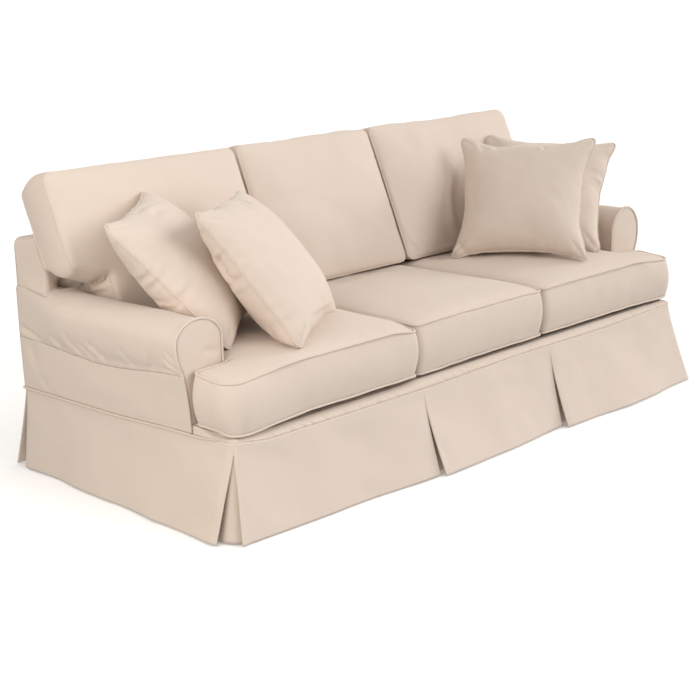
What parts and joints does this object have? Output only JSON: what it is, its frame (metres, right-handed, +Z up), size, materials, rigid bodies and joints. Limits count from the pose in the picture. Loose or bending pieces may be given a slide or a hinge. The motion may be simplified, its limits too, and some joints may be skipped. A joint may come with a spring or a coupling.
{
  "type": "sofa slipcover set",
  "caption": "Loose fitted cover for a three-seat sofa with rolled arms: body cover with a pleated skirt to the floor, boxed seat and back cushions and square pillows in the same cloth.",
  "frame": {"origin": "on the floor, in the middle of the set's outline, level with the skirt's hem", "axes": "+X from the left arm to the right arm as seen from in front, +Y from the front to the back, +Z up"},
  "size_m": [2.1922, 1.1291, 0.9059],
  "materials": {
    "cloth": "matt plain weave, cream beige, softly creased",
    "welt": "the same plain weave, cut on the bias over a cord"
  },
  "bodies": {
    "root": {"arm_facing_left": "cloth", "arm_facing_right": "cloth", "arm_top_left": "cloth", "arm_top_right": "cloth", "back_boxing": "cloth", "back_cushion_left": "cloth", "back_cushion_left_welt_front": "welt", "back_cushion_left_welt_rear": "welt", "back_cushion_middle": "cloth", "back_cushion_middle_welt_front": "welt", "back_cushion_middle_welt_rear": "welt", "back_cushion_right": "cloth", "back_cushion_right_welt_front": "welt", "back_cushion_right_welt_rear": "welt", "deck": "cloth", "facing_welt_left": "welt", "facing_welt_right": "welt", "front_rail": "cloth", "inside_back": "cloth", "outside_arm_left": "cloth", "outside_arm_right": "cloth", "outside_back": "cloth", "pillow_left_front": "cloth", "pillow_left_front_welt": "welt", "pillow_left_rear": "cloth", "pillow_left_rear_welt": "welt", "pillow_right_front": "cloth", "pillow_right_front_welt": "welt", "pillow_right_rear": "cloth", "pillow_right_rear_welt": "welt", "pleat_corner_back_left": "cloth", "pleat_corner_back_right": "cloth", "pleat_corner_front_left": "cloth", "pleat_corner_front_right": "cloth", "pleat_front_left": "cloth", "pleat_front_right": "cloth", "seat_cushion_left": "cloth", "seat_cushion_left_welt_bottom": "welt", "seat_cushion_left_welt_top": "welt", "seat_cushion_middle": "cloth", "seat_cushion_middle_welt_bottom": "welt", "seat_cushion_middle_welt_top": "welt", "seat_cushion_right": "cloth", "seat_cushion_right_welt_bottom": "welt", "seat_cushion_right_welt_top": "welt", "skirt_back": "cloth", "skirt_front_left": "cloth", "skirt_front_middle": "cloth", "skirt_front_right": "cloth", "skirt_side_left": "cloth", "skirt_side_right": "cloth", "skirt_welt": "welt"}
  },
  "joints": []
}
